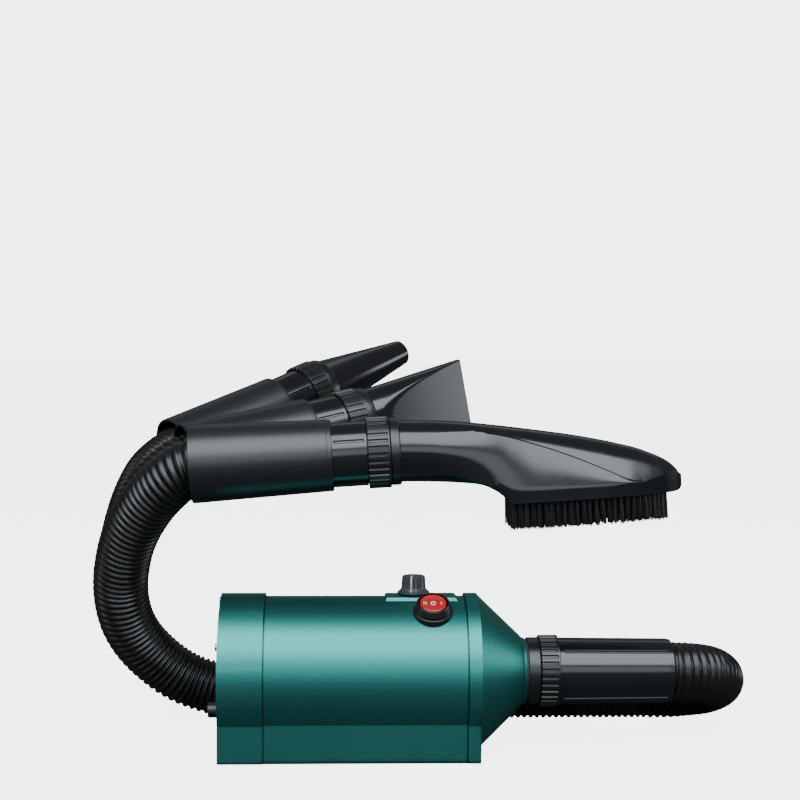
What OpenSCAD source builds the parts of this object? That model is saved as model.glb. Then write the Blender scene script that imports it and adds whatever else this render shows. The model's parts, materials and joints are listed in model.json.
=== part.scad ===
// Car dryer blower: a motor casing on a flat base, one corrugated hose and three wands.
// Frame: X along the motor shaft towards the outlet, Y away from the controls side, Z up,
// origin under the middle of the foot pad.

/* [Casing] */
// Radius of the round barrel
barrel_r = 65; // [64:0.5:67]
// Height of the motor axis above the floor
axis_z = 69; // [68:0.5:72]
// Rear end of the barrel
barrel_x0 = -74.4; // [-76:0.2:-73]
// Front end of the barrel
barrel_x1 = 96.5; // [95:0.5:98]
// Half width of the flat sided base block
block_half = 55; // [53:0.5:57]
// How far the rear cap and the front ring stand proud of the barrel
cap_proud = 2.5; // [2:0.5:3]
// Wall thickness of the casing
wall = 2.5; // [2:0.5:3]
// Rear face of the rear cap
cap_x0 = -113; // [-116:0.5:-110]
// Front face of the ring where the cone starts
ring_x1 = 108; // [107:0.5:110]
// Front end of the cone
cone_x1 = 149.5; // [148:0.5:152]
// Thickness of the rubber foot pad
pad_t = 1.5; // [1:0.5:2]

/* [Outlet] */
// Outside radius of the outlet at the end of the cone
outlet_r = 28.3; // [28:0.1:29]
// Front end of the fluted hose sleeve
sleeve_x1 = 277; // [270:1:285]

/* [Hose] */
// Outside diameter of the corrugated hose
hose_d = 50; // [48:1:50]
// Wall thickness of the hose
hose_wall = 2.5; // [2:0.5:3]

/* [Wands] */
// Length of the plain handle
handle_len = 122; // [115:1:125]
// Outside radius of the handle at its mouth
handle_r0 = 34; // [33:0.5:35]
// Outside radius of the handle at its far end
handle_r1 = 30.8; // [30:0.2:31]
// Outside radius of the fluted sleeve
sleeve_r = 28; // [27.6:0.2:28]
// Outside radius of the knurled collars
collar_r = 31; // [30.6:0.2:31.4]
// Number of ribs around a knurled collar
collar_ribs = 32; // [24:1:36]
// Outside radius of the plain ring of a nozzle
ring_r = 29.3; // [29:0.1:29.6]
// Length of the cone nozzle in front of its ring
cone_len = 106; // [90:1:115]
// Outside radius of the cone nozzle's tip
cone_tip_r = 12.3; // [11:0.1:13]
// Outside radius of the cone nozzle at its seat
cone_neck_r = 27; // [26:0.2:28]
// Length of the flat nozzle in front of its ring
flat_len = 105; // [95:1:110]
// Outside thickness of the flat nozzle's mouth
flat_mouth = 10; // [10:0.5:12]
// Length of the bristles
bristle_len = 24; // [20:1:26]

/* [Controls] */
// Place of the rocker switch along the casing
switch_x = 68; // [66:1:70]
// Lean of the rocker switch from the vertical, towards the user
switch_lean = 30; // [28:1:32]
// Place of the speed knob along the casing
knob_x = 53; // [52:1:54]

/* [Hidden] */
$fn = 64;
cap_r = barrel_r + cap_proud;
cap_half = block_half + cap_proud;
front_gap_x = barrel_x1 + 0.8;
rear_gap_x = barrel_x0 - 0.8;
bore_gap = 0.05;
// Inner lips of the cap and the ring, a slip fit inside the barrel.
lip_r = barrel_r - wall - 0.1;
lip_half = block_half - wall - 0.1;
lip_low = pad_t + wall + 0.1;
// The rear cap's end wall, with the seat and the mouth of the intake.
end_wall = 6;
intake_seat_r = 56;
intake_seat_t = 3;
intake_mouth_r = 50;
board_screw_x = [42, 80];
board_screw_y = [-18, 18];
rear_screw_angles = [0, 60, -60];
pivot_z = 6.5;
gland_y = 46;
gland_z = 25;
screw_orbit = 61.8;
hose_r = hose_d / 2;

// The wands fan out from one place: mouth, turn about Z, rise.
wand_pos = [[-139.5, 0, 248.5], [-150, 71, 246.5], [-165.5, 144, 248.5]];
wand_turn = [0, 22, 36];
wand_rise = [3.8, 11.5, 19.5];

// Places along a wand, measured from its mouth.
cuff_s0 = 20;
cuff_s1 = 58;
socket_s0 = 88;
fluted_s1 = handle_len + 30;
collar_s0 = fluted_s1 + 0.4;
collar_s1 = collar_s0 + 19.2;
ring_s0 = collar_s1 + 0.4;
ring_s1 = ring_s0 + 8.5;
plug_s0 = 138;
cuff_r = 28;
spigot_r = 25;
spigot_bore = 22.5;
plug_bore = 20.5;

// Route of the hose: out of the sleeve, round and down to the floor behind the casing, back
// along it, and up in a wide bend to the first wand.
hose_route = [
    [262, 0, 69], [271, 0, 69], [286, 2, 68], [301, 8, 66], [315, 19, 62], [325, 34, 56],
    [330, 51, 50], [330, 69, 43], [325, 87, 36], [315, 102, 31], [301, 113, 27], [286, 119, 25.3],
    [270, 121, 25.2], [240, 121, 25.2], [200, 121, 25.2], [150, 121, 25.2], [100, 121, 25.2],
    [50, 121, 25.2], [0, 121, 25.2], [-50, 121, 25.2], [-90, 121, 25.4], [-122, 121, 28],
    [-146, 120, 35], [-163, 117, 44], [-178, 113, 56], [-191, 107, 70], [-200, 100, 84],
    [-206, 92, 99], [-209, 82, 117], [-209, 72, 136], [-206, 61, 154], [-201, 50, 172],
    [-193, 38, 190], [-183, 27, 206], [-173, 18, 219], [-161, 9, 231], [-149, 3, 241],
    [-136, 0, 247], [-120, 0, 249.6], [-100, 0, 251.1], [-84, 0, 252.2]
];
// Short branches from the back of the hose to the second and third wands.
tail_2_route = [
    [-194, 38, 190], [-188, 43, 203], [-181, 49, 216], [-173, 56, 227], [-163, 63, 237],
    [-151, 70, 245], [-132, 78.5, 250.5], [-114, 86, 254.5], [-99, 92, 258]
];
tail_3_route = [
    [-199, 47, 178], [-197, 60, 192], [-194, 76, 207], [-190, 93, 220], [-185, 110, 231],
    [-177, 127, 240], [-166, 143, 248], [-150, 155, 255.5], [-135, 166, 262], [-122, 175.5, 268]
];

// ---- Shared forms ----

// A tube along X.
module tube_x(x0, x1, ro, ri) {
    translate([x0, 0, 0])
        rotate([0, 90, 0])
            difference() {
                cylinder(h = x1 - x0, r = ro);
                translate([0, 0, -1]) cylinder(h = x1 - x0 + 2, r = ri);
            }
}

// A solid rod along X.
module rod_x(x0, x1, r) {
    translate([x0, 0, 0]) rotate([0, 90, 0]) cylinder(h = x1 - x0, r = r);
}

// A turned form about X from points of [radius, place along X].
module turned_x(points) {
    rotate([0, 90, 0]) rotate_extrude() polygon(points);
}

// Puts a child on the motor axis.
module on_axis() {
    translate([0, 0, axis_z]) children();
}

// The casing's section, a circle on a flat sided block, drawn out along X.
module casing_form(x0, x1, r, half, low) {
    translate([x0, 0, 0])
        rotate([90, 0, 90])
            linear_extrude(x1 - x0)
                union() {
                    translate([0, axis_z]) circle(r);
                    translate([-half, low]) square([2 * half, axis_z - low]);
                }
}

// Puts a child in the frame of one wand: X along the wand, origin at its mouth.
module at_wand(i) {
    translate(wand_pos[i]) rotate([0, -wand_rise[i], wand_turn[i]]) children();
}

// Puts a child on the rocker switch's axis, Z outwards, origin on the barrel's surface.
module at_switch() {
    translate([switch_x, 0, axis_z])
        rotate([switch_lean, 0, 0])
            translate([0, 0, barrel_r])
                children();
}

// A knurled lock ring along X.
module knurled_ring(x0, x1, r, bore) {
    difference() {
        tube_x(x0, x1, r, bore);
        for (k = [0 : collar_ribs - 1])
            rotate([k * 360 / collar_ribs, 0, 0])
                translate([x0 - 1, -1, r - 1])
                    cube([x1 - x0 - 1.5, 2, 3]);
    }
}

// Four lengthwise flutes cut in a sleeve, the first at an angle from the top.
module flutes(x0, x1, r, first) {
    for (k = [0 : 3])
        rotate([first + k * 90, 0, 0])
            translate([x0, -1.1, r - 1.1])
                cube([x1 - x0, 2.2, 3]);
}

// ---- Swept tubes ----

function unit(v) = v / norm(v);
function tangent(p, i) = unit(p[min(i + 1, len(p) - 1)] - p[max(i - 1, 0)]);
// A normal carried along the route without twist.
function carried(n, t) = unit(n - (n * t) * t);
function normals(p, i, n) =
    i >= len(p) ? [] :
    let (m = carried(n, tangent(p, i)))
    concat([m], normals(p, i + 1, m));
function ring_points(c, t, n, r, sides) =
    let (b = cross(t, n))
    [for (k = [0 : sides - 1])
        let (a = (k + 0.5) * 360 / sides)
        c + r * (cos(a) * n + sin(a) * b)];

// A hollow tube swept along a route.
module swept_tube(route, ro, ri, sides) {
    rings = len(route);
    frames = normals(route, 0, [0, 0, 1]);
    outer = [for (i = [0 : rings - 1])
        each ring_points(route[i], tangent(route, i), frames[i], ro, sides)];
    inner = [for (i = [0 : rings - 1])
        each ring_points(route[i], tangent(route, i), frames[i], ri, sides)];
    off = rings * sides;
    last = (rings - 1) * sides;
    faces = [
        for (i = [0 : rings - 2], k = [0 : sides - 1])
            let (a = i * sides + k, b = i * sides + (k + 1) % sides)
            each [[a, a + sides, b + sides], [a, b + sides, b],
                  [off + a, off + b + sides, off + a + sides], [off + a, off + b, off + b + sides]],
        for (k = [0 : sides - 1])
            let (a = k, b = (k + 1) % sides)
            each [[a, b, off + b], [a, off + b, off + a],
                  [last + b, last + a, off + last + a], [last + b, off + last + a, off + last + b]]
    ];
    polyhedron(concat(outer, inner), faces);
}

// ---- Casing ----

module foot_pad() {
    color("black")
        linear_extrude(pad_t)
            union() {
                square([206, 84], center = true);
                square([194, 96], center = true);
                for (x = [-97, 97], y = [-42, 42]) translate([x, y]) circle(6);
            }
}

module barrel() {
    color("teal")
        difference() {
            casing_form(barrel_x0, barrel_x1, barrel_r, block_half, pad_t);
            casing_form(barrel_x0 - 1, barrel_x1 + 1, barrel_r - wall, block_half - wall, pad_t + wall);
            at_switch() translate([0, 0, -12]) cylinder(h = 20, r = 10.2);
            translate([knob_x, 0, axis_z]) cylinder(h = 80, r = 3.6);
            for (x = board_screw_x, y = board_screw_y) translate([x, y, 0]) cylinder(h = 8, r = 1.6);
        }
}

module rear_cap() {
    color("teal")
        difference() {
            union() {
                casing_form(cap_x0, rear_gap_x, cap_r, cap_half, pad_t);
                casing_form(rear_gap_x - 1, barrel_x0 + 8, lip_r, lip_half, lip_low);
            }
            casing_form(cap_x0 + end_wall, rear_gap_x - 3, cap_r - 2.8, cap_half - 2.8, pad_t + 2.8);
            casing_form(cap_x0 + 10, barrel_x0 + 9, barrel_r - wall - 2.5, block_half - 5, pad_t + 5);
            on_axis() rod_x(cap_x0 - 1, cap_x0 + intake_seat_t, intake_seat_r);
            on_axis() rod_x(cap_x0 - 1, cap_x0 + end_wall + 1, intake_mouth_r);
            translate([0, gland_y, gland_z]) rod_x(cap_x0 - 1, cap_x0 + end_wall + 1, 6);
            for (a = rear_screw_angles)
                on_axis() rotate([a, 0, 0]) translate([0, 0, screw_orbit])
                    rod_x(cap_x0 - 1, cap_x0 + end_wall + 1, 1.6);
        }
}

module front_cone() {
    color("teal")
        difference() {
            union() {
                casing_form(front_gap_x, ring_x1, cap_r, cap_half, pad_t);
                casing_form(barrel_x1 - 9, front_gap_x + 1, lip_r, lip_half, lip_low);
                on_axis()
                    turned_x([[0, ring_x1], [cap_r, ring_x1], [31, cone_x1 - 4], [28.9, cone_x1 - 2],
                              [outlet_r, cone_x1], [0, cone_x1]]);
            }
            casing_form(barrel_x1 - 10, ring_x1 - 2.5, 60, 50, pad_t + 5);
            on_axis()
                turned_x([[0, ring_x1 - 3], [60, ring_x1 - 3], [60, ring_x1 + 4.1], [29.2, cone_x1 - 5.7],
                          [25.4, cone_x1 - 3], [25.4, cone_x1 + 1], [0, cone_x1 + 1]]);
        }
}

module rear_screws() {
    color("silver")
        for (a = rear_screw_angles)
            on_axis() rotate([a, 0, 0]) translate([0, 0, screw_orbit])
                union() {
                    rod_x(cap_x0 - 1.8, cap_x0, 3);
                    rod_x(cap_x0 - 1, cap_x0 + 8, 1.5);
                }
}

module base_screws() {
    color("silver")
        for (x = board_screw_x, y = board_screw_y) translate([x, y, 0])
            union() {
                translate([0, 0, pad_t + wall]) cylinder(h = 8, r = 3.5);
                translate([0, 0, pad_t]) cylinder(h = 14, r = 1.5);
            }
}

module cable_gland() {
    color("black")
        translate([0, gland_y, gland_z])
            difference() {
                union() {
                    rod_x(cap_x0 - 10, cap_x0 + 11, 5.9);
                    translate([cap_x0 - 4, 0, 0]) rotate([0, 90, 0]) cylinder(h = 4, r = 7.6, $fn = 6);
                    rod_x(cap_x0 - 15, cap_x0 - 4, 6.8);
                    translate([cap_x0 + 6, 0, 0]) rotate([0, 90, 0]) cylinder(h = 3, r = 7.6, $fn = 6);
                }
                rod_x(cap_x0 - 16, cap_x0 + 12, 4);
            }
}

// ---- Filter cover, which pulls out of the rear cap ----

module intake_grille() {
    color("black")
        on_axis()
            union() {
                tube_x(cap_x0, cap_x0 + 2.8, intake_seat_r - 0.4, 46);
                tube_x(cap_x0 + 1, cap_x0 + 17, intake_mouth_r - 0.4, 47.4);
                for (r = [40, 31, 22, 13]) tube_x(cap_x0, cap_x0 + 2.2, r, r - 2.4);
                for (k = [0 : 5])
                    rotate([k * 60, 0, 0]) translate([cap_x0 + 0.6, -1.5, 0]) cube([2, 3, 47]);
                rod_x(cap_x0, cap_x0 + 2.6, 6);
            }
}

module foam_filter() {
    color("dimgray") on_axis() rod_x(cap_x0 + 2.8, cap_x0 + 14, 47.3);
}

module filter_retainer() {
    color("black")
        on_axis()
            union() {
                tube_x(cap_x0 + 14, cap_x0 + 16, 47.4, 43);
                for (k = [0 : 2])
                    rotate([k * 60, 0, 0]) translate([cap_x0 + 14, -2, -44]) cube([2, 4, 88]);
            }
}

// ---- Motor and fan ----

module fan_housing() {
    color("silver")
        on_axis()
            difference() {
                rod_x(-62, -14, 56);
                rod_x(-60.5, -15.5, 54.5);
                rod_x(-63, -60, 22);
                rod_x(-16, -13, 10);
                for (k = [0 : 5])
                    rotate([30 + k * 60, 0, 0]) translate([0, 0, 42]) rod_x(-16, -13, 9);
            }
}

module mount_ring_rear() {
    color("black") on_axis() tube_x(-46, -34, barrel_r - wall, 56);
}

module mount_ring_front() {
    color("black")
        on_axis()
            difference() {
                tube_x(26, 34, barrel_r - wall, 41);
                for (k = [0 : 7])
                    rotate([22.5 + k * 45, 0, 0]) translate([0, 0, 51.8]) rod_x(25, 35, 7);
            }
}

module stage_plate() {
    color("gainsboro")
        on_axis()
            union() {
                tube_x(-43, -41, 54.5, 8);
                for (k = [0 : 8])
                    rotate([k * 40, 0, 0]) translate([-42, -1, 20]) cube([3.5, 2, 30]);
            }
}

module motor_can() {
    color("silver")
        on_axis()
            difference() {
                rod_x(-14, 60, 41);
                rod_x(-12.5, 61, 39.5);
                rod_x(-15, -12, 11);
                for (k = [0 : 5])
                    rotate([30 + k * 60, 0, 0]) translate([0, 0, 28]) rod_x(-15, -12, 7);
            }
}

module end_bell() {
    color("gray")
        on_axis()
            difference() {
                union() {
                    rod_x(60, 62.5, 41);
                    rod_x(52, 61, 15);
                }
                rod_x(51, 58, 11);
                rod_x(57, 63, 6);
                for (k = [0 : 5])
                    rotate([30 + k * 60, 0, 0]) translate([0, 0, 28]) rod_x(59, 63, 8);
            }
}

module stator() {
    color("dimgray") on_axis() tube_x(2, 36, 39.5, 25);
}

module carbon_brushes() {
    color("goldenrod")
        on_axis()
            for (side = [0, 180])
                rotate([side, 0, 0]) translate([41, 11.4, -3.5]) cube([8, 27.9, 7]);
}

module bearing_rear() {
    color("silver") on_axis() tube_x(-14, -7, 11, 4 + bore_gap);
}

module bearing_front() {
    color("silver") on_axis() tube_x(51, 58, 11, 4 + bore_gap);
}

module rotor_shaft() {
    color("silver")
        on_axis()
            union() {
                rod_x(-60, 59, 4);
                rod_x(-60, -57, 7);
            }
}

// One stage of the fan: back disc, ring and blades.
module impeller(x0) {
    on_axis()
        difference() {
            union() {
                rod_x(x0 + 8.5, x0 + 10, 50);
                tube_x(x0, x0 + 1.2, 50, 24);
                rod_x(x0, x0 + 10, 9);
                for (k = [0 : 8])
                    rotate([k * 40, 0, 0])
                        translate([x0 + 0.5, 14, 8.9])
                            rotate([-25, 0, 0])
                                cube([8.5, 1.5, 35]);
            }
            rod_x(x0 - 1, x0 + 11, 4);
        }
}

module impeller_1() {
    color("silver") impeller(-57);
}

module impeller_2() {
    color("silver") impeller(-36);
}

module armature() {
    color("orange") on_axis() tube_x(4, 34, 24, 4);
}

module commutator() {
    color("goldenrod") on_axis() tube_x(38, 50, 11, 4);
}

module speed_board() {
    board_z = pad_t + wall + 8;
    color("green")
        union() {
            difference() {
                translate([37, -24, board_z]) cube([48, 48, 1.6]);
                for (x = board_screw_x, y = board_screw_y)
                    translate([x, y, board_z - 1]) cylinder(h = 4, r = 1.6);
            }
            translate([50, -8, board_z + 1]) cube([4, 16, 9]);
            translate([64, 0, board_z + 1]) cylinder(h = 8, r = 5);
            translate([72, -6, board_z + 1]) cube([8, 12, 6]);
        }
}

// ---- Controls ----

// The raised flat on top of the barrel: sloping sides and ends under a level top.
module control_pad() {
    top_z = axis_z + barrel_r + 1.6;
    color("teal")
        difference() {
            intersection() {
                translate([20, 0, 0])
                    rotate([90, 0, 90])
                        linear_extrude(80)
                            polygon([[-22, top_z - 8], [-15.2, top_z], [15.2, top_z], [22, top_z - 8]]);
                translate([0, 30, 0])
                    rotate([90, 0, 0])
                        linear_extrude(60)
                            polygon([[26, top_z - 8], [29, top_z], [89, top_z],
                                     [95, top_z - 6], [95, top_z - 8]]);
            }
            on_axis() rod_x(10, 110, barrel_r, $fn = 360);
            translate([knob_x, 0, axis_z]) cylinder(h = 80, r = 3.6);
            at_switch() translate([0, 0, -6]) cylinder(h = 20, r = 17.2);
        }
}

module speed_pot() {
    color("silver")
        translate([knob_x, 0, 0])
            union() {
                translate([0, 0, axis_z + 46]) cylinder(h = barrel_r - wall - 47, r = 8);
                translate([0, 0, axis_z + 50]) cylinder(h = barrel_r - 49, r = 3.5);
                translate([0, 0, axis_z + 50]) cylinder(h = barrel_r - 36, r = 3);
            }
}

module speed_knob() {
    low = axis_z + barrel_r + 2.2;
    color("dimgray")
        translate([knob_x, 0, low])
            difference() {
                rotate_extrude()
                    polygon([[0, 0], [14, 0], [14, 1], [11.5, 3], [10.6, 5], [10.2, 16], [9.6, 17], [0, 17]]);
                translate([0, 0, -1]) cylinder(h = 15.5, r = 3 + bore_gap);
                for (k = [0 : 15])
                    rotate([0, 0, k * 22.5]) translate([10.9, 0, 5.5]) cylinder(h = 14, r = 1.1, $fn = 24);
            }
}

module switch_boot() {
    color("black")
        difference() {
            at_switch()
                difference() {
                    rotate_extrude()
                        polygon([[0, -4], [16.8, -4], [16.8, 3], [15.6, 4.2], [15.3, 9], [14.6, 13],
                                 [13.6, 13.4], [0, 13.4]]);
                    translate([0, 0, -6]) cylinder(h = 10, r = 10.1);
                    translate([0, 0, 3.8]) cylinder(h = 12, r = 13.4);
                }
            on_axis() rod_x(40, 96, barrel_r, $fn = 360);
        }
}

module switch_body() {
    color("black")
        at_switch()
            difference() {
                union() {
                    translate([0, 0, -20]) cylinder(h = 23.6, r = 10);
                    for (side = [-1, 1])
                        translate([-2.5, side * 7.6 - 1, 3]) cube([5, 2, 5.6]);
                }
                translate([0, -12, pivot_z]) rotate([-90, 0, 0]) cylinder(h = 24, r = 1 + bore_gap, $fn = 32);
            }
}

module rocker() {
    color("red")
        at_switch()
            union() {
                rotate_extrude()
                    polygon([[0, 9.4], [12, 9.4], [12, 12], [11.2, 12.8], [6, 12], [0, 11.8]]);
                translate([-2.6, -6, 5]) cube([5.2, 12, 5]);
                translate([0, -8.5, pivot_z]) rotate([-90, 0, 0]) cylinder(h = 17, r = 1, $fn = 32);
            }
}

// ---- Outlet ----

module outlet_gasket() {
    color("black") on_axis() tube_x(cone_x1, cone_x1 + 2, 27.4, 25.2);
}

module outlet_neck() {
    color("black")
        on_axis()
            difference() {
                union() {
                    rod_x(cone_x1 - 8, cone_x1 + 40, 25.1);
                    rod_x(cone_x1 + 2, cone_x1 + 12, 29);
                }
                rod_x(cone_x1 - 9, cone_x1 + 41, 22.5);
            }
}

module outlet_collar() {
    color("black") on_axis() knurled_ring(cone_x1 + 12.4, cone_x1 + 28.6, collar_r, 25.1 + bore_gap);
}

module outlet_sleeve() {
    color("black")
        on_axis()
            difference() {
                turned_x([[25.2, cone_x1 + 29], [28.7, cone_x1 + 29], [27.7, sleeve_x1], [25.2, sleeve_x1]]);
                flutes(cone_x1 + 34, sleeve_x1 - 6, sleeve_r, 45);
            }
}

// ---- Hose ----

module hose() {
    color("black") swept_tube(hose_route, hose_r, hose_r - hose_wall, 12);
}

module hose_tail_2() {
    color("black") swept_tube(tail_2_route, hose_r, hose_r - hose_wall, 12);
}

module hose_tail_3() {
    color("black") swept_tube(tail_3_route, hose_r, hose_r - hose_wall, 12);
}

// One swivel cuff on each hose end, inside the handles.
module hose_cuffs() {
    color("dimgray")
        for (i = [0 : 2]) at_wand(i) tube_x(cuff_s0, cuff_s1, cuff_r, hose_r);
}

// ---- Wands ----

module handle(i) {
    at_wand(i)
        turned_x([
            [31.4, 0], [handle_r0 - 0.5, 0], [handle_r0, 1.5],
            [handle_r1 + 0.4, handle_len - 1.5], [handle_r1, handle_len],
            [sleeve_r + bore_gap, handle_len], [sleeve_r + bore_gap, socket_s0], [27, socket_s0],
            [27, 64], [cuff_r + bore_gap, 64], [cuff_r + bore_gap, 18]
        ]);
}

module sleeve(i) {
    at_wand(i)
        difference() {
            union() {
                rod_x(socket_s0, fluted_s1, sleeve_r);
                rod_x(fluted_s1 - 1, ring_s0 - 0.3, spigot_r);
            }
            rod_x(socket_s0 - 1, ring_s0 + 1, spigot_bore);
            flutes(handle_len + 2, fluted_s1 - 3, sleeve_r, 63);
        }
}

module wand_collar(i) {
    at_wand(i) knurled_ring(collar_s0, collar_s1, collar_r, spigot_r + bore_gap);
}

// The nozzle's own ring, with the plug that pushes into the sleeve.
module nozzle_ring(i) {
    at_wand(i)
        difference() {
            union() {
                rod_x(ring_s0, ring_s1, ring_r);
                rod_x(plug_s0, ring_s0 + 1, spigot_bore - 0.08);
            }
            rod_x(plug_s0 - 1, ring_s1 + 1, plug_bore);
        }
}

module handle_1() {
    color("dimgray") handle(0);
}
module handle_2() {
    color("dimgray") handle(1);
}
module handle_3() {
    color("dimgray") handle(2);
}
module sleeve_1() {
    color("black") sleeve(0);
}
module sleeve_2() {
    color("black") sleeve(1);
}
module sleeve_3() {
    color("black") sleeve(2);
}
module collar_1() {
    color("black") wand_collar(0);
}
module collar_2() {
    color("black") wand_collar(1);
}
module collar_3() {
    color("black") wand_collar(2);
}
module ring_1() {
    color("black") nozzle_ring(0);
}
module ring_2() {
    color("black") nozzle_ring(1);
}
module ring_3() {
    color("black") nozzle_ring(2);
}

// ---- Brush head ----

rim_z = -49;
// Stations along the head: [place, top, widest height, bottom, half width, squareness below].
head_stations = [
    [ring_s1, 26.6, 0, -26.6, 26.6, 2],
    [215, 24, 0, -28.5, 27, 2],
    [245, 20.5, -4, -32.5, 29, 2.2],
    [258, 18.4, -14, -36, 31, 3],
    [265, 17, -26, -42, 32.5, 5],
    [272, 15.8, -38, rim_z, 33.5, 10],
    [300, 11, -39, rim_z, 35, 10],
    [335, 4, -39, rim_z, 35, 10],
    [365, -4, -39, rim_z, 33, 10],
    [390, -12, -37, rim_z, 28, 10],
    [405, -18.5, -35, rim_z, 22, 10],
    [416, -26, -36, rim_z, 14, 8],
    [422, -33, -39, rim_z, 6, 5]
];
head_sides = 28;

// One point of a station's outline; the upper half is a soft arch, the lower half squarer.
function head_point(s, inset, a) =
    let (m = sin(a) >= 0 ? 2.2 : s[5])
    let (hz = sin(a) >= 0 ? s[1] - inset - s[2] : s[2] - s[3] - inset)
    [s[0], (s[4] - inset) * sign(cos(a)) * pow(abs(cos(a)), 2 / m),
     s[2] + hz * sign(sin(a)) * pow(abs(sin(a)), 2 / m)];

// A closed loft through stations.
module head_loft(stations, inset) {
    count = len(stations);
    points = [for (s = stations, k = [0 : head_sides - 1]) head_point(s, inset, k * 360 / head_sides)];
    faces = [
        for (i = [0 : count - 2], k = [0 : head_sides - 1])
            let (a = i * head_sides + k, b = i * head_sides + (k + 1) % head_sides)
            each [[a, b + head_sides, b], [a, a + head_sides, b + head_sides]],
        [for (k = [0 : head_sides - 1]) k],
        [for (k = [head_sides - 1 : -1 : 0]) (count - 1) * head_sides + k]
    ];
    polyhedron(points, faces);
}

// Half width of the head at a station, for the outline of the base plate.
function plate_side(inset, side) =
    [for (i = [5 : 12]) [head_stations[i][0] - (i - 8) * inset / 5, side * (head_stations[i][4] - inset)]];
function plate_outline(inset) =
    concat(plate_side(inset, -1), [for (i = [7 : -1 : 0]) plate_side(inset, 1)[i]]);

// The air slot between the bristles: a straight slot with round ends.
module air_slot(r) {
    union() {
        translate([300, -r]) square([76, 2 * r]);
        translate([300, 0]) circle(r);
        translate([376, 0]) circle(r);
    }
}

module brush_head() {
    inner = [for (i = [0 : 11]) i == 0 ? [ring_s1 - 1, 22.8, 0, -22.8, 22.8, 2] : head_stations[i]];
    color("black")
        at_wand(0)
            difference() {
                head_loft(head_stations, 0);
                head_loft(inner, 2.4);
                translate([0, 0, rim_z - 1]) linear_extrude(4.5) polygon(plate_outline(2.4));
            }
}

module brush_base() {
    color("black")
        at_wand(0)
            translate([0, 0, rim_z])
                linear_extrude(3.2)
                    difference() {
                        polygon(plate_outline(2.7));
                        air_slot(8);
                    }
}

module bristles() {
    color("black")
        at_wand(0)
            translate([0, 0, rim_z - bristle_len])
                linear_extrude(bristle_len)
                    difference() {
                        polygon(plate_outline(4.5));
                        air_slot(10);
                    }
}

// ---- Flat nozzle ----

flat_s1 = ring_s1 + flat_len;

// A flared cone between two planes that close towards the mouth.
module flat_form(inset, s0, s1) {
    neck_y = 27 - inset;
    mouth_y = flat_mouth / 2 - inset;
    slope = (neck_y - mouth_y) / (flat_len - 10);
    intersection() {
        turned_x([[0, s0], [27 - inset, s0], [27.4 - inset, ring_s1 + 10], [35.4 - inset, s1], [0, s1]]);
        linear_extrude(100, center = true)
            polygon([[s0, -40], [ring_s1 + 10, -neck_y], [flat_s1, -mouth_y], [s1 + 1, -mouth_y + slope],
                     [s1 + 1, mouth_y - slope], [flat_s1, mouth_y], [ring_s1 + 10, neck_y], [s0, 40]]);
    }
}

module flat_nozzle() {
    color("black")
        at_wand(1)
            difference() {
                flat_form(0, ring_s1, flat_s1);
                flat_form(2, ring_s1 - 1, flat_s1 + 1);
            }
}

// ---- Cone nozzle ----

cone_s1 = ring_s1 + cone_len;
cone_lip = 1.5;
// Where the seat half of the cone ends and its tip half starts.
cone_joint = ring_s1 + 56;

// Outside and inside radius of the cone at a place along the wand.
function cone_outside(s) =
    cone_neck_r + (cone_tip_r + 0.5 - cone_neck_r) * (s - ring_s1 - cone_lip) / (cone_len - 2 - cone_lip);
function cone_inside(s) =
    cone_neck_r - 2.6 + (cone_tip_r + 0.8 - cone_neck_r) * (s - ring_s1 - 6) / (cone_len - 6);

module cone_nozzle() {
    color("black")
        at_wand(2)
            turned_x([[22, ring_s1], [cone_neck_r, ring_s1], [cone_neck_r, ring_s1 + cone_lip],
                      [cone_outside(cone_joint), cone_joint], [cone_inside(cone_joint), cone_joint],
                      [cone_inside(ring_s1 + 6), ring_s1 + 6], [22, ring_s1 + 5]]);
}

module cone_tip() {
    color("black")
        at_wand(2)
            turned_x([[cone_inside(cone_joint), cone_joint], [cone_outside(cone_joint), cone_joint],
                      [cone_outside(cone_s1 - 2), cone_s1 - 2], [cone_tip_r, cone_s1],
                      [cone_inside(cone_s1), cone_s1]]);
}

foot_pad();
barrel();
rear_cap();
front_cone();
rear_screws();
base_screws();
cable_gland();
intake_grille();
foam_filter();
filter_retainer();
fan_housing();
mount_ring_rear();
mount_ring_front();
stage_plate();
motor_can();
end_bell();
stator();
carbon_brushes();
bearing_rear();
bearing_front();
rotor_shaft();
impeller_1();
impeller_2();
armature();
commutator();
speed_board();
control_pad();
speed_pot();
speed_knob();
switch_boot();
switch_body();
rocker();
outlet_gasket();
outlet_neck();
outlet_collar();
outlet_sleeve();
hose();
hose_tail_2();
hose_tail_3();
hose_cuffs();
handle_1();
sleeve_1();
collar_1();
ring_1();
brush_head();
brush_base();
bristles();
handle_2();
sleeve_2();
collar_2();
ring_2();
flat_nozzle();
handle_3();
sleeve_3();
collar_3();
ring_3();
cone_nozzle();
cone_tip();
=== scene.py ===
"""Car dryer blower: a metallic teal motor casing, one ribbed hose, and three wands that carry a
brush, a flat nozzle and a cone nozzle. Metres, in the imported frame's own place: X along the motor
shaft towards the outlet, Y away from the controls side, Z up."""
import json
import math
import random

import bmesh
import bpy
from mathutils import Matrix, Vector


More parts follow.
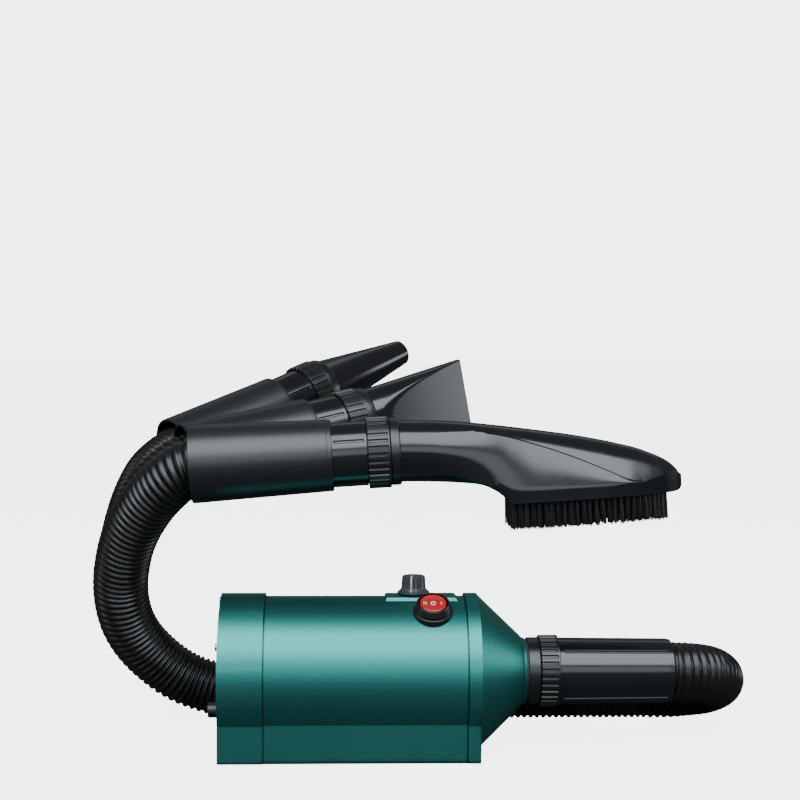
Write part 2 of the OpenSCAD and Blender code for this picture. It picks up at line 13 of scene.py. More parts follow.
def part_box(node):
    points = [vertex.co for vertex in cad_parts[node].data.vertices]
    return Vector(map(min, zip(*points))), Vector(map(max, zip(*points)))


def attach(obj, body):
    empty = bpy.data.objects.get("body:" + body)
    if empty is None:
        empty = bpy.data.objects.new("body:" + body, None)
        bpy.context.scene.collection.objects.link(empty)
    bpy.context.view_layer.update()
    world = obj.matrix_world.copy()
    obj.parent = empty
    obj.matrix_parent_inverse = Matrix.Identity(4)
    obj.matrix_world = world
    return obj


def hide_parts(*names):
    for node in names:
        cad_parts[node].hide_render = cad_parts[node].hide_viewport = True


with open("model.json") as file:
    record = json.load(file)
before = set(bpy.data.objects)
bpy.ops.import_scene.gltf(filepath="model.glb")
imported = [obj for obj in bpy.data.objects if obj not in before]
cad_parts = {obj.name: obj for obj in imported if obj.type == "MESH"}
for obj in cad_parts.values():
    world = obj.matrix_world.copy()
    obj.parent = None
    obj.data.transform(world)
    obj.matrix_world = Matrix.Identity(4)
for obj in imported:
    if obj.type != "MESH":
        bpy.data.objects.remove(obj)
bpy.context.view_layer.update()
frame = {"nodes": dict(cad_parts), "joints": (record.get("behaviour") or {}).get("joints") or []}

# ---- Camera ----
# A long lens on the controls side, level with the wands and tilted slightly down.
camera_data = bpy.data.cameras.new("camera")
camera_data.sensor_width = 36.0
camera_data.lens = 73.9
camera = bpy.data.objects.new("camera", camera_data)
bpy.context.collection.objects.link(camera)
camera_turn = Matrix.Rotation(math.radians(-2.2), 4, "Z")
camera_tilt = Matrix.Rotation(math.radians(88.0), 4, "X")
camera_roll = Matrix.Rotation(math.radians(0.3), 4, "Z")
camera_place = Matrix.Translation((-0.014, -1.4167, 0.354))
camera.matrix_world = camera_place @ camera_turn @ camera_tilt @ camera_roll
bpy.context.scene.camera = camera

# ---- Studio ----
# A plain pale floor under one large soft box, which leans over the blower from the controls
# side, with a strip behind for the top edges and a weak card at each end.


def soft_box(name, place, target, width, height, power):
    """A rectangular light at place that faces target."""
    data = bpy.data.lights.new(name, "AREA")
    data.shape = "RECTANGLE"
    data.size = width
    data.size_y = height
    data.energy = power
    data.color = (0.88, 0.95, 1.0)
    light = bpy.data.objects.new(name, data)
    bpy.context.collection.objects.link(light)
    aim = Vector(target) - Vector(place)
    turn = aim.to_track_quat("-Z", "Y").to_matrix().to_4x4()
    light.matrix_world = Matrix.Translation(place) @ turn
    return light


soft_box("main_box", (0.0, -1.10, 1.58), (0.0, 0.0, 0.15), 2.6, 1.6, 66.0)
soft_box("low_box", (0.0, -2.05, 0.60), (0.0, 0.0, 0.15), 2.6, 0.7, 9.0)
soft_box("back_strip", (0.1, 1.3, 1.3), (0.05, 0.1, 0.2), 2.0, 0.3, 0.8)
soft_box("left_card", (-1.9, -0.5, 0.6), (0.0, 0.0, 0.15), 0.5, 1.0, 3.0)
soft_box("right_card", (2.1, 0.10, 0.47), (0.1, 0.0, 0.40), 1.2, 0.5, 6.5)

world = bpy.data.worlds.new("studio")
bpy.context.scene.world = world
world.use_nodes = True
backdrop = world.node_tree.nodes["Background"]
backdrop.inputs["Color"].default_value = (0.93, 0.95, 0.97, 1.0)
# The backdrop looks pale, yet throws little light into the gloss.
ray = world.node_tree.nodes.new("ShaderNodeLightPath")
dimming = world.node_tree.nodes.new("ShaderNodeMapRange")
dimming.inputs["To Min"].default_value = 0.12
dimming.inputs["To Max"].default_value = 5.0
world.node_tree.links.new(ray.outputs["Is Camera Ray"], dimming.inputs["Value"])
world.node_tree.links.new(dimming.outputs["Result"], backdrop.inputs["Strength"])

bm = bmesh.new()
bmesh.ops.create_grid(bm, x_segments=2, y_segments=2, size=30.0)
floor_mesh = bpy.data.meshes.new("floor")
bm.to_mesh(floor_mesh)
bm.free()
floor = bpy.data.objects.new("floor", floor_mesh)
bpy.context.collection.objects.link(floor)
floor_paper = bpy.data.materials.new("floor_paper")
floor_paper.use_nodes = True
floor_shader = floor_paper.node_tree.nodes["Principled BSDF"]
floor_shader.inputs["Roughness"].default_value = 0.9
floor_shader.inputs["Emission Color"].default_value = (0.93, 0.95, 0.97, 1.0)
# It looks pale, yet throws little light up into the gloss, as a studio table does.
floor_tree = floor_paper.node_tree
floor_ray = floor_tree.nodes.new("ShaderNodeLightPath")
floor_tone = floor_tree.nodes.new("ShaderNodeMix")
floor_tone.data_type = "RGBA"
floor_tone.inputs[6].default_value = (0.06, 0.065, 0.07, 1.0)
floor_tone.inputs[7].default_value = (0.72, 0.73, 0.74, 1.0)
floor_tree.links.new(floor_ray.outputs["Is Camera Ray"], floor_tone.inputs[0])
floor_tree.links.new(floor_tone.outputs[2], floor_shader.inputs["Base Color"])
floor_glow = floor_tree.nodes.new("ShaderNodeMath")
floor_glow.operation = "MULTIPLY"
floor_glow.inputs[1].default_value = 4.5
floor_tree.links.new(floor_ray.outputs["Is Camera Ray"], floor_glow.inputs[0])
floor_tree.links.new(floor_glow.outputs[0], floor_shader.inputs["Emission Strength"])
floor_mesh.materials.append(floor_paper)

# ---- Hose ----
# Blow moulded black hose of 50 mm with a round rib every 6 mm. It leaves the fluted sleeve,
# turns down to the floor behind the casing, and climbs in one bend to the first wand.
hose_d = 0.05
rib_pitch = 0.006
rib_depth = 0.0022
steps_per_rib = 8
hose_sides = 36
rib_roundness = 1.3
end_fold = 0.86
hose_route = [
    (262, 0, 69), (271, 0, 69), (286, 2, 68), (301, 8, 66), (315, 19, 62), (325, 34, 56),
    (330, 51, 50), (330, 69, 43), (325, 87, 36), (315, 102, 31), (301, 113, 27), (286, 119, 25.3),
    (270, 121, 25.2), (240, 121, 25.2), (200, 121, 25.2), (150, 121, 25.2), (100, 121, 25.2),
    (50, 121, 25.2), (0, 121, 25.2), (-50, 121, 25.2), (-90, 121, 25.4), (-122, 121, 28),
    (-146, 120, 35), (-163, 117, 44), (-178, 113, 56), (-191, 107, 70), (-200, 100, 84),
    (-206, 92, 99), (-209, 82, 117), (-209, 72, 136), (-206, 61, 154), (-201, 50, 172),
    (-193, 38, 190), (-183, 27, 206), (-173, 18, 219), (-161, 9, 231), (-149, 3, 241),
    (-136, 0, 247), (-120, 0, 249.6), (-100, 0, 251.1), (-84, 0, 252.2),
]
# Two short branches leave the back of the bend for the second and third wands.
tail_2_route = [
    (-194, 38, 190), (-188, 43, 203), (-181, 49, 216), (-173, 56, 227), (-163, 63, 237),
    (-151, 70, 245), (-132, 78.5, 250.5), (-114, 86, 254.5), (-99, 92, 258),
]
tail_3_route = [
    (-199, 47, 178), (-197, 60, 192), (-194, 76, 207), (-190, 93, 220), (-185, 110, 231),
    (-177, 127, 240), (-166, 143, 248), (-150, 155, 255.5), (-135, 166, 262), (-122, 175.5, 268),
]


def smooth_route(route_mm, step):
    """Points about a step apart along a smooth curve through a route in millimetres."""
    knots = [Vector(p) / 1000 for p in route_mm]
    knots = [2 * knots[0] - knots[1]] + knots + [2 * knots[-1] - knots[-2]]
    dense = []
    for a, b, c, d in zip(knots, knots[1:], knots[2:], knots[3:]):
        for k in range(24):
            t = k / 24
            dense.append(0.5 * (2 * b + (c - a) * t + (2 * a - 5 * b + 4 * c - d) * t ** 2
                                + (3 * b - a - 3 * c + d) * t ** 3))
    dense.append(knots[-2])
    reach = [0.0]
    for a, b in zip(dense, dense[1:]):
        reach.append(reach[-1] + (b - a).length)
    count = round(reach[-1] / step)
    points, k = [], 0
    for n in range(count + 1):
        wanted = reach[-1] * n / count
        while k < len(reach) - 2 and reach[k + 1] < wanted:
            k += 1
        points.append(dense[k].lerp(dense[k + 1], (wanted - reach[k]) / (reach[k + 1] - reach[k])))
    return points, reach[-1]


# Every finish in the file is made of three shared effects: fine grain, a slow drift of tone and
# roughness, and lighter rubbed edges.


def effect_group(name, inputs, outputs):
    """An empty node group with these sockets; returns the group and its two ends."""
    group = bpy.data.node_groups.new(name, "ShaderNodeTree")
    for label, kind, value in inputs:
        group.interface.new_socket(label, in_out="INPUT", socket_type=kind).default_value = value
    for label, kind in outputs:
        group.interface.new_socket(label, in_out="OUTPUT", socket_type=kind)
    return group, group.nodes.new("NodeGroupInput"), group.nodes.new("NodeGroupOutput")


def math_node(tree, operation, first, second=0.5, third=None, clamp=False):
    """A Math node; each value is a number or another node's output."""
    node = tree.nodes.new("ShaderNodeMath")
    node.operation = operation
    node.use_clamp = clamp
    for slot, value in enumerate((first, second, third)):
        if isinstance(value, bpy.types.NodeSocket):
            tree.links.new(value, node.inputs[slot])
        elif value is not None:
            node.inputs[slot].default_value = value
    return node.outputs[0]


def mix_colours(tree, part, low, high):
    """A colour between low and high; each is a colour or another node's output."""
    node = tree.nodes.new("ShaderNodeMix")
    node.data_type = "RGBA"
    for slot, value in ((0, part), (6, low), (7, high)):
        if isinstance(value, bpy.types.NodeSocket):
            tree.links.new(value, node.inputs[slot])
        else:
            node.inputs[slot].default_value = value
    return node.outputs[2]


def noise(tree, vector, scale, detail=3.0, roughness=0.55):
    """A noise texture's value; scale is a number or another node's output."""
    node = tree.nodes.new("ShaderNodeTexNoise")
    node.inputs["Detail"].default_value = detail
    node.inputs["Roughness"].default_value = roughness
    tree.links.new(vector, node.inputs["Vector"])
    if isinstance(scale, bpy.types.NodeSocket):
        tree.links.new(scale, node.inputs["Scale"])
    else:
        node.inputs["Scale"].default_value = scale
    return node.outputs["Fac"]


grain, start, end = effect_group(
    "fine_grain",
    [("Vector", "NodeSocketVector", (0, 0, 0)), ("Scale", "NodeSocketFloat", 900.0)],
    [("Height", "NodeSocketFloat")],
)
grain.links.new(noise(grain, start.outputs["Vector"], start.outputs["Scale"]),
                end.inputs["Height"])

drift, start, end = effect_group(
    "tone_drift",
    [("Vector", "NodeSocketVector", (0, 0, 0)), ("Light", "NodeSocketColor", (1, 1, 1, 1)),
     ("Dark", "NodeSocketColor", (0, 0, 0, 1)), ("Roughness", "NodeSocketFloat", 0.4),
     ("Spread", "NodeSocketFloat", 0.1), ("Scale", "NodeSocketFloat", 14.0)],
    [("Color", "NodeSocketColor"), ("Roughness", "NodeSocketFloat")],
)
clouds = noise(drift, start.outputs["Vector"], start.outputs["Scale"], 4.0)
drift.links.new(mix_colours(drift, clouds, start.outputs["Dark"], start.outputs["Light"]),
                end.inputs["Color"])
drift.links.new(math_node(drift, "MULTIPLY_ADD", math_node(drift, "SUBTRACT", clouds, 0.5),
                          start.outputs["Spread"], start.outputs["Roughness"]),
                end.inputs["Roughness"])

rubbing, start, end = effect_group(
    "rubbed_edges",
    [("Vector", "NodeSocketVector", (0, 0, 0)), ("Color", "NodeSocketColor", (0, 0, 0, 1)),
     ("Rubbed", "NodeSocketColor", (1, 1, 1, 1)), ("Amount", "NodeSocketFloat", 0.3)],
    [("Color", "NodeSocketColor")],
)
edges_found = rubbing.nodes.new("ShaderNodeMapRange")
edges_found.inputs["From Min"].default_value = 0.53
edges_found.inputs["From Max"].default_value = 0.63
surface = rubbing.nodes.new("ShaderNodeNewGeometry")
rubbing.links.new(surface.outputs["Pointiness"], edges_found.inputs["Value"])
patches = math_node(rubbing, "MULTIPLY", edges_found.outputs["Result"],
                    noise(rubbing, start.outputs["Vector"], 160.0))
rubbed_part = math_node(rubbing, "MULTIPLY", patches, start.outputs["Amount"], clamp=True)
rubbing.links.new(mix_colours(rubbing, rubbed_part, start.outputs["Color"],
                              start.outputs["Rubbed"]), end.inputs["Color"])


def finish_of(name, light, dark, roughness, spread=0.1, clouds=14.0, rubbed=None, rub=0.3,
              grain_scale=900.0, relief=0.00004, metallic=0.0, coat=0.0, coat_rough=0.1,
              specular=0.5):
    """A material from the three shared effects, on Object coordinates."""
    material = bpy.data.materials.new(name)
    material.use_nodes = True
    tree = material.node_tree
    shader = tree.nodes["Principled BSDF"]
    shader.inputs["Specular IOR Level"].default_value = specular
    shader.inputs["Metallic"].default_value = metallic
    shader.inputs["Coat Weight"].default_value = coat
    shader.inputs["Coat Roughness"].default_value = coat_rough
    place = tree.nodes.new("ShaderNodeTexCoord")
    effects = {}
    for effect in (grain, drift, rubbing):
        node = tree.nodes.new("ShaderNodeGroup")
        node.node_tree = effect
        tree.links.new(place.outputs["Object"], node.inputs["Vector"])
        effects[effect.name] = node
    effects["fine_grain"].inputs["Scale"].default_value = grain_scale
    tone = effects["tone_drift"]
    tone.inputs["Light"].default_value = (*light, 1.0)
    tone.inputs["Dark"].default_value = (*dark, 1.0)
    tone.inputs["Roughness"].default_value = roughness
    tone.inputs["Spread"].default_value = spread
    tone.inputs["Scale"].default_value = clouds
    rub_node = effects["rubbed_edges"]
    rub_node.inputs["Rubbed"].default_value = (*(rubbed or light), 1.0)
    rub_node.inputs["Amount"].default_value = rub
    bump = tree.nodes.new("ShaderNodeBump")
    bump.inputs["Distance"].default_value = relief
    tree.links.new(tone.outputs["Color"], rub_node.inputs["Color"])
    tree.links.new(rub_node.outputs["Color"], shader.inputs["Base Color"])
    tree.links.new(tone.outputs["Roughness"], shader.inputs["Roughness"])
    tree.links.new(effects["fine_grain"].outputs["Height"], bump.inputs["Height"])
    tree.links.new(bump.outputs["Normal"], shader.inputs["Normal"])
    return material


def place_piece(name, bm, finish, body, stands_for=(), rounded=0.0, crease=30.0,
                segments=2):
    """Makes a bmesh a finished piece on a body, with its sharp edges rounded."""
    mesh = bpy.data.meshes.new(name)
    bm.to_mesh(mesh)
    bm.free()
    mesh.shade_smooth()
    mesh.set_sharp_from_angle(angle=math.radians(crease))
    mesh.materials.append(finish)
    piece = bpy.data.objects.new(name, mesh)
    bpy.context.collection.objects.link(piece)
    if rounded:
        rounding = piece.modifiers.new("rounding", "BEVEL")
        rounding.width = rounded
        rounding.segments = segments
        rounding.limit_method = "ANGLE"
        rounding.angle_limit = math.radians(crease)
        rounding.harden_normals = True
    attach(piece, body)
    if stands_for:
        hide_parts(*stands_for)
    return piece


def ribbed_hose(name, route_mm, nodes, finish):
    """A grid rolled round the route; its radius falls and rises once a rib."""
    points, length = smooth_route(route_mm, rib_pitch / steps_per_rib)
    rows = len(points)
    normal = Vector((0, 0, 1))
    frames = []
    for k in range(rows):
        tangent = (points[min(k + 1, rows - 1)] - points[max(k - 1, 0)]).normalized()
        normal = (normal - normal.dot(tangent) * tangent).normalized()
        frames.append((normal, tangent.cross(normal)))
    bm = bmesh.new()
    bmesh.ops.create_grid(bm, x_segments=rows - 1, y_segments=hose_sides, size=1.0)
    for vert in bm.verts:
        k = round((vert.co.x + 1) / 2 * (rows - 1))
        angle = (vert.co.y + 1) * math.pi
        wave = 0.5 - 0.5 * math.cos(2 * math.pi * k / steps_per_rib)
        radius = hose_d / 2 - rib_depth * wave ** rib_roundness
        up, side = frames[k]
        vert.co = points[k] + radius * (math.cos(angle) * up + math.sin(angle) * side)
    bmesh.ops.remove_doubles(bm, verts=bm.verts, dist=1e-6)
    bmesh.ops.recalc_face_normals(bm, faces=bm.faces)
    rims = [edge for edge in bm.edges if edge.is_boundary]
    folded = bmesh.ops.extrude_edge_only(bm, edges=rims)["geom"]
    for vert in folded:
        if isinstance(vert, bmesh.types.BMVert):
            centre = min((points[0], points[-1]), key=lambda p: (p - vert.co).length)
            vert.co = centre + (vert.co - centre) * end_fold
    piece = place_piece(name, bm, finish, "casing", nodes, crease=80.0)
    return piece, points, length


hose_black = finish_of("ribbed_hose_black", (0.010, 0.010, 0.011), (0.005, 0.005, 0.0055), 0.28,
                       spread=0.16, clouds=30.0, rubbed=(0.055, 0.055, 0.058), rub=0.5,
                       grain_scale=1500.0)
hose, hose_points, hose_length = ribbed_hose("ribbed_hose", hose_route, ["hose"], hose_black)
ribbed_hose("ribbed_branch_2", tail_2_route, ["hose_tail_2"], hose_black)
ribbed_hose("ribbed_branch_3", tail_3_route, ["hose_tail_3"], hose_black)

# ---- Casing ----
# Rolled barrel, pressed rear cap and spun front cone in metallic teal paint. Each has one
# section: a circle that stands on a flat sided block. They meet at two open seams.
axis_z = 0.069
barrel_r = 0.065
block_half = 0.055
block_low = 0.0015
cap_proud = 0.0025
shell_wall = 0.0025
seam_depth = 0.0026
corner_r = 0.003
section_sides = 240


def round_ring(bm, x, radius):
    """A ring of the casing that is a full circle on the motor axis."""
    ring = bmesh.ops.create_circle(bm, segments=section_sides, radius=radius)["verts"]
    turn = Matrix.Rotation(math.radians(90), 4, "Y")
    bmesh.ops.transform(bm, verts=ring, matrix=Matrix.Translation((x, 0, axis_z)) @ turn)
    return list({edge for vert in ring for edge in vert.link_edges})


def block_ring(bm, x, radius, half, low):
    """A ring of the casing's section: a circle whose lower part is pushed out to the block."""
    edges = round_ring(bm, x, radius)
    ring = {vert for edge in edges for vert in edge.verts}
    drop = math.sqrt(radius ** 2 - half ** 2)
    first = math.atan2(drop, half)
    spacing = 2 * math.pi / section_sides
    lower = {}
    for vert in ring:
        angle = math.atan2(axis_z - vert.co.z, vert.co.y)
        if first - spacing / 2 <= angle <= math.pi - first + spacing / 2:
            lower[angle] = vert
    side = axis_z - drop - low - corner_r
    bottom = 2 * (half - corner_r)
    arc = corner_r * math.pi / 2
    # The corners get closer points than the flats.
    stretches = [side, arc * 5, bottom, arc * 5, side]
    for n, angle in enumerate(sorted(lower)):
        vert = lower[angle]
        way = n / (len(lower) - 1) * sum(stretches)
        if way > sum(stretches) / 2:
            mirror, way = -1, sum(stretches) - way
        else:
            mirror = 1
        if way <= side:
            y, z = half, axis_z - drop - way
        elif way <= side + arc * 5:
            turn = (way - side) / (arc * 5) * math.pi / 2
            y = half - corner_r + corner_r * math.cos(turn)
            z = low + corner_r - corner_r * math.sin(turn)
        else:
            y, z = half - corner_r - (way - side - arc * 5), low
        vert.co.y, vert.co.z = mirror * y, z
    return edges


def join_rings(bm, rings, closed=True):
    """Bridges each ring to the next, and the last to the first if closed."""
    pairs = list(zip(rings, rings[1:]))
    if closed:
        pairs.append((rings[-1], rings[0]))
    for here, there in pairs:
        bmesh.ops.bridge_loops(bm, edges=here + there)
    bmesh.ops.recalc_face_normals(bm, faces=bm.faces)


def keep_node(node, finish):
    """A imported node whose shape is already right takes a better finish."""
    slots = frame["nodes"][node].data.materials
    slots.clear()
    slots.append(finish)


teal_paint = finish_of("metallic_teal_paint", (0.042, 0.27, 0.243), (0.037, 0.245, 0.221), 0.40,
                       spread=0.05, clouds=9.0, rubbed=(0.16, 0.52, 0.48), rub=0.2,
                       grain_scale=2600.0, relief=0.00002, metallic=0.97)
cap_r = barrel_r + cap_proud
cap_half = block_half + cap_proud
inner_low = block_low + shell_wall
lip_r, lip_half, lip_low = barrel_r - seam_depth, block_half - seam_depth, inner_low + 0.0001
inside_r, inside_half, inside_low = 0.060, 0.050, 0.0065
barrel_x0, barrel_x1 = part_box("barrel")[0].x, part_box("barrel")[1].x
cap_x0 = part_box("rear_cap")[0].x
cap_seam_x = barrel_x0 - 0.0008
ring_seam_x = barrel_x1 + 0.0008
ring_x1 = 0.108
cone_x1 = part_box("front_cone")[1].x
cap_room_r, cap_room_half, cap_room_low = 0.0647, 0.0547, 0.0043
intake_r, intake_seat_r = 0.056, 0.050
intake_seat_x, cap_face_x = cap_x0 + 0.003, cap_x0 + 0.006
cap_step_x, cap_spigot_x = cap_seam_x - 0.003, barrel_x0 + 0.008
cone_step_x, cone_spigot_x = ring_x1 - 0.003, barrel_x1 - 0.009
outlet_hole_r, cone_lip_r, cone_neck_r = 0.0254, 0.0283, 0.031

bm = bmesh.new()
join_rings(bm, [
    block_ring(bm, barrel_x0, barrel_r, block_half, block_low),
    block_ring(bm, barrel_x1, barrel_r, block_half, block_low),
    block_ring(bm, barrel_x1, barrel_r - shell_wall, block_half - shell_wall, inner_low),
    block_ring(bm, barrel_x0, barrel_r - shell_wall, block_half - shell_wall, inner_low),
])
place_piece("painted_barrel", bm, teal_paint, "casing", ["barrel"], rounded=0.0005,
            crease=25.0)

bm = bmesh.new()
join_rings(bm, [
    block_ring(bm, cap_seam_x, cap_r, cap_half, block_low),
    block_ring(bm, cap_x0, cap_r, cap_half, block_low),
    round_ring(bm, cap_x0, intake_r),
    round_ring(bm, intake_seat_x, intake_r),
    round_ring(bm, intake_seat_x, intake_seat_r),
    round_ring(bm, cap_face_x, intake_seat_r),
    block_ring(bm, cap_face_x, cap_room_r, cap_room_half, cap_room_low),
    block_ring(bm, cap_step_x, cap_room_r, cap_room_half, cap_room_low),
    block_ring(bm, cap_step_x, inside_r, inside_half, inside_low),
    block_ring(bm, cap_spigot_x, inside_r, inside_half, inside_low),
    block_ring(bm, cap_spigot_x, lip_r, lip_half, lip_low),
    block_ring(bm, cap_seam_x, lip_r, lip_half, lip_low),
])
place_piece("painted_rear_cap", bm, teal_paint, "casing", ["rear_cap"],
            rounded=0.0009, crease=25.0, segments=3)

bm = bmesh.new()
join_rings(bm, [
    block_ring(bm, ring_seam_x, cap_r, cap_half, block_low),
    block_ring(bm, ring_x1, cap_r, cap_half, block_low),
    round_ring(bm, ring_x1, cap_r - 0.0006),
    round_ring(bm, cone_x1 - 0.004, cone_neck_r),
    round_ring(bm, cone_x1 - 0.002, cone_lip_r + 0.0006),
    round_ring(bm, cone_x1, cone_lip_r),
    round_ring(bm, cone_x1, outlet_hole_r),
    round_ring(bm, cone_x1 - 0.003, outlet_hole_r),
    round_ring(bm, cone_x1 - 0.0057, outlet_hole_r + 0.0038),
    round_ring(bm, ring_x1 + 0.0041, inside_r - 0.0005),
    round_ring(bm, cone_step_x, inside_r - 0.0005),
    block_ring(bm, cone_step_x, inside_r, inside_half, inside_low),
    block_ring(bm, cone_spigot_x, inside_r, inside_half, inside_low),
    block_ring(bm, cone_spigot_x, lip_r, lip_half, lip_low),
    block_ring(bm, ring_seam_x, lip_r, lip_half, lip_low),
])
place_piece("painted_front_cone", bm, teal_paint, "casing", ["front_cone"],
            rounded=0.0009, crease=25.0, segments=3)

rubber_black = finish_of("rubber_black", (0.022, 0.022, 0.023), (0.012, 0.012, 0.013), 0.62,
                         rub=0.2, grain_scale=1200.0, relief=0.00008)
bare_steel = finish_of("bright_steel", (0.55, 0.56, 0.58), (0.42, 0.43, 0.45), 0.30, spread=0.2,
                       clouds=60.0, rubbed=(0.7, 0.7, 0.72), metallic=1.0)
for node in ("foot_pad", "mount_ring_rear", "mount_ring_front", "outlet_gasket"):
    keep_node(node, rubber_black)
for node in ("rear_screws", "base_screws"):
    keep_node(node, bare_steel)

# ---- Intake ----
# A ribbed nylon grille clips into the rear cap, over a foam filter and its cross shaped
# retainer. The cable gland is screwed into the cap's lower corner.
moulded_black = finish_of("moulded_nylon_black", (0.011, 0.0115, 0.0125), (0.006, 0.0065, 0.007),
                          0.30, spread=0.12, rubbed=(0.07, 0.072, 0.076), rub=0.5,
                          grain_scale=1100.0, relief=0.00005, specular=0.7)
foam_grey = finish_of("open_foam_grey", (0.060, 0.062, 0.065), (0.018, 0.018, 0.020), 0.9,
                      clouds=700.0, rub=0.0, grain_scale=650.0, relief=0.0006)
for node in ("intake_grille", "filter_retainer", "cable_gland"):
    keep_node(node, moulded_black)
keep_node("foam_filter", foam_grey)

# ---- Motor and fan ----
# Two stage fan on a universal motor, seen only through the grille: cast housings, a laminated
# stator, a wound armature, carbon brushes, ball bearings and the speed board.
cast_aluminium = finish_of("cast_aluminium", (0.60, 0.61, 0.62), (0.44, 0.45, 0.46), 0.5,
                           spread=0.2, clouds=90.0, grain_scale=600.0, relief=0.0001,
                           metallic=1.0)
copper_winding = finish_of("enamelled_copper", (0.62, 0.22, 0.07), (0.32, 0.10, 0.03), 0.32,
                           spread=0.2, clouds=400.0, metallic=1.0)
carbon_black = finish_of("pressed_carbon", (0.035, 0.033, 0.032), (0.012, 0.012, 0.012), 0.6,
                         clouds=500.0, grain_scale=2000.0)
board_green = finish_of("board_green", (0.020, 0.120, 0.050), (0.012, 0.075, 0.030), 0.35,
                        clouds=120.0, coat=0.4)
inner_finishes = {
    "fan_housing": cast_aluminium, "stage_plate": cast_aluminium, "end_bell": cast_aluminium,
    "impeller_1": cast_aluminium, "impeller_2": cast_aluminium, "motor_can": bare_steel,
    "stator": bare_steel, "bearing_rear": bare_steel, "bearing_front": bare_steel,
    "rotor_shaft": bare_steel, "speed_pot": bare_steel, "armature": copper_winding,
    "commutator": copper_winding, "carbon_brushes": carbon_black, "speed_board": board_green,
}
for node, finish in inner_finishes.items():
    keep_node(node, finish)

# ---- Control pad ----
# A raised flat pressed on top of the barrel, with sloping sides, ends and soft corners. It
# carries the speed knob, and the rocker's boot stands against its front edge.
pad_x0, pad_x1 = 0.026, 0.095
pad_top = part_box("control_pad")[1].z
pad_flat_half = 0.0122
pad_slope_half = 0.0182
pad_depth = 0.0075
rear_slope, front_slope = 0.003, -0.006
bm = bmesh.new()
outline = bmesh.ops.create_circle(bm, segments=4, radius=1.0, cap_ends=True)["verts"]
corners = [(pad_x0, -1), (pad_x1, -1), (pad_x1, 1), (pad_x0, 1)]
for vert, (x, side) in zip(outline, corners):
    vert.co = (x, side * pad_slope_half, pad_top - pad_depth)
raised = bmesh.ops.extrude_face_region(bm, geom=list(bm.faces))["geom"]
for vert in raised:
    if isinstance(vert, bmesh.types.BMVert):
        inward = rear_slope if vert.co.x < (pad_x0 + pad_x1) / 2 else front_slope
        side = math.copysign(pad_flat_half, vert.co.y)
        vert.co = (vert.co.x + inward, side, pad_top)
bmesh.ops.recalc_face_normals(bm, faces=bm.faces)
place_piece("raised_pad", bm, teal_paint, "casing", ["control_pad"], rounded=0.0012,
            crease=20.0, segments=4)

# ---- Speed knob ----
# Pressed on the potentiometer's shaft: a moulded grey-black cap with finger flutes and a skirt,
# and a white pointer line let into its side and top.
knob_place = Vector((0.053, 0.0, axis_z + barrel_r + 0.0032))
knob_flutes = 20
knob_outline = [(0.0, 0.0031), (0.0, 0.0140), (0.0011, 0.0140), (0.0022, 0.0126),
                (0.0036, 0.0112), (0.0050, 0.0105), (0.0132, 0.0102), (0.0146, 0.0099),
                (0.0152, 0.0092), (0.0152, 0.0)]


def turned(outline, sides, closed=False):
    """A form turned about X from points of (place along X, radius)."""
    bm = bmesh.new()
    verts = [bm.verts.new((x, 0.0, r)) for x, r in outline]
    edges = [bm.edges.new(pair) for pair in zip(verts, verts[1:])]
    if closed:
        edges.append(bm.edges.new((verts[-1], verts[0])))
    bmesh.ops.spin(bm, geom=verts + edges, cent=(0, 0, 0), axis=(1, 0, 0), angle=2 * math.pi,
                   steps=sides, use_merge=True)
    bmesh.ops.remove_doubles(bm, verts=bm.verts, dist=1e-6)
    bmesh.ops.recalc_face_normals(bm, faces=bm.faces)
    return bm


def cut_flutes(bm, count, depth, x0, x1, over, share, first=0.0):
    """Sinks count lengthwise flutes in the turned face above a radius, between two places.
    share is the part of each pitch that a flute takes, first the angle of one from the top."""
    pitch = 2 * math.pi / count
    for vert in bm.verts:
        radius = math.hypot(vert.co.y, vert.co.z)
        if radius < over or not x0 - 1e-6 <= vert.co.x <= x1 + 1e-6:
            continue
        angle = (math.atan2(-vert.co.y, vert.co.z) - first) % pitch
        away = min(angle, pitch - angle) / (pitch * share / 2)
        if away < 1.0 - 1e-4:
            shrink = 1 - depth / radius
            vert.co.y *= shrink
            vert.co.z *= shrink


knob_grey = finish_of("knob_grey", (0.045, 0.048, 0.055), (0.028, 0.030, 0.035), 0.30,
                      spread=0.12, rubbed=(0.16, 0.165, 0.175), rub=0.6, grain_scale=1600.0)
mark_white = finish_of("inlay_white", (0.72, 0.70, 0.68), (0.62, 0.60, 0.58), 0.45, clouds=90.0,
                       rub=0.0)
upright = Matrix.Translation(knob_place) @ Matrix.Rotation(math.radians(-90), 4, "Y")
bm = turned(knob_outline, knob_flutes * 8)
cut_flutes(bm, knob_flutes, 0.0008, 0.005, 0.0146, 0.0095, 0.5)
bm.transform(upright)
place_piece("fluted_knob", bm, knob_grey, "knob", ["speed_knob"], rounded=0.0003,
            crease=28.0)

pointer_turn = Matrix.Rotation(math.radians(-14), 4, "Z")
for name, size, place in (
    ("pointer_side", (0.0011, 0.0012, 0.0110), (0.0, -0.01005, 0.0096)),
    ("pointer_skirt", (0.0014, 0.0020, 0.0014), (0.0, -0.0121, 0.0029)),
    ("pointer_top", (0.0011, 0.0068, 0.0006), (0.0, -0.0065, 0.0151)),
):
    bm = bmesh.new()
    bmesh.ops.create_cube(bm, size=1.0)
    bmesh.ops.scale(bm, vec=size, verts=bm.verts)
    bmesh.ops.bevel(bm, geom=bm.edges[:], offset=0.0002, segments=2, profile=0.5, material=-1,
                    affect="EDGES")
    bm.transform(Matrix.Translation(knob_place) @ pointer_turn @ Matrix.Translation(place))
    place_piece(name, bm, mark_white, "knob")

